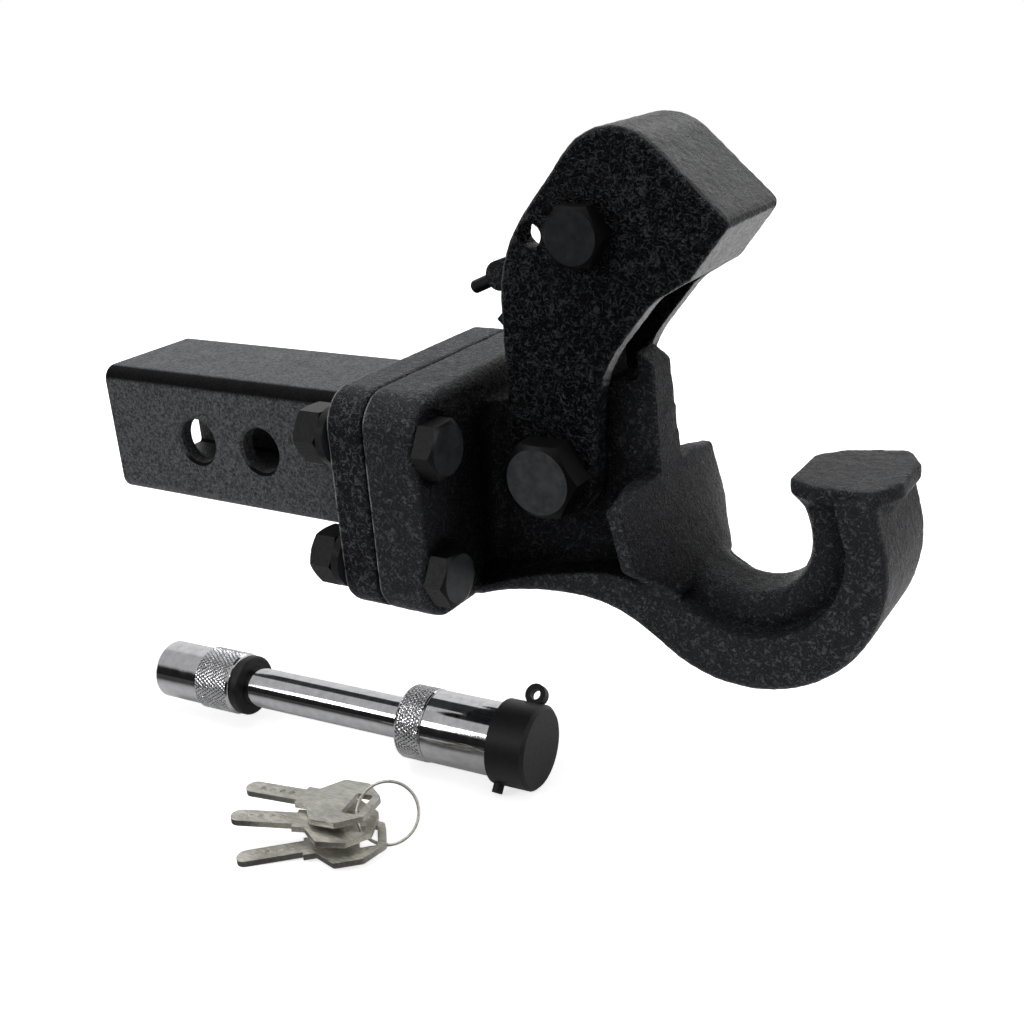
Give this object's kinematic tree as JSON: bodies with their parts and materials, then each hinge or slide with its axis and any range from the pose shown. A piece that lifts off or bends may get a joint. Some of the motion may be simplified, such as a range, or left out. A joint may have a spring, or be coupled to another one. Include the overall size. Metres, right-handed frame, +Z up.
{
  "type": "pintle hook tow hitch",
  "caption": "Pintle hook with a swing-over latch, bolted to a square receiver shank, with a loose locking hitch pin and its keys.",
  "frame": {"origin": "centre of the rear hitch-pin hole, on the shank's axis", "axes": "+X forward along the shank to the hook, +Y across to the left along the hitch-pin hole, +Z up"},
  "size_m": [0.3081, 0.1571, 0.2333],
  "materials": {
    "powder_coat": "satin black powder coat",
    "cast_coat": "rough casting, black powder coat",
    "black_bolt": "black oxide",
    "spring_steel": "bright",
    "pin_chrome": "polished",
    "black_rubber": "matt",
    "lock_brass": "machined",
    "key_nickel": "stamped, nickel plated"
  },
  "bodies": {
    "hitch": {"shank_tube": "powder_coat", "shank_weld": "powder_coat", "mount_plate": "cast_coat", "hook_casting": "cast_coat", "mounting_bolts": "black_bolt", "spring_washers": "black_bolt", "mounting_nuts": "black_bolt", "pivot_bolt": "black_bolt", "pivot_washer": "black_bolt", "pivot_nut": "black_bolt"},
    "latch": {"latch_casting": "cast_coat", "pawl_bolt": "black_bolt", "pawl_washer": "black_bolt", "pawl_nut": "black_bolt", "pawl_spacers": "black_bolt", "pawl_spring": "spring_steel"},
    "pawl": {"lock_pawl": "cast_coat", "thumb_rod": "black_bolt"},
    "lock_pin": {"pin_shaft": "pin_chrome", "pin_head": "pin_chrome", "pin_seal": "black_rubber"},
    "lock_head": {"lock_barrel": "pin_chrome", "lock_balls": "spring_steel"},
    "lock_core": {"lock_plug": "lock_brass"},
    "cap": {"dust_cap": "black_rubber"},
    "key_set": {"keys": "key_nickel", "key_ring": "key_nickel"}
  },
  "joints": [
    {"name": "latch_pivot", "type": "hinge", "parent": "hitch", "child": "latch", "pos_m": [0.1534, 0, 0.0062], "axis": [0, 1, 0], "range_deg": [0, 48.4]},
    {"name": "pawl_pivot", "type": "hinge", "parent": "latch", "child": "pawl", "pos_m": [0.1682, 0, 0.0833], "axis": [0, -1, 0], "range_deg": [0, 8], "stiffness_Nm_per_rad": 1.5},
    {"name": "lock_pin_lift", "type": "slide", "parent": "hitch", "child": "lock_pin", "axis": [0, 0, 1], "range_m": [0, 0.015]},
    {"name": "lock_pull", "type": "slide", "parent": "lock_pin", "child": "lock_head", "axis": [0.9977, 0.068, 0], "range_m": [0, 0.04]},
    {"name": "lock_turn", "type": "hinge", "parent": "lock_head", "child": "lock_core", "pos_m": [0.12713, -0.01772, -0.10345], "axis": [0.9977, 0.068, 0], "range_deg": [0, 90]},
    {"name": "cap_pull", "type": "slide", "parent": "lock_head", "child": "cap", "axis": [0.9977, 0.068, 0], "range_m": [0, 0.03]},
    {"name": "keys_lift", "type": "slide", "parent": "hitch", "child": "key_set", "axis": [0, 0, 1], "range_m": [0, 0.015]}
  ]
}
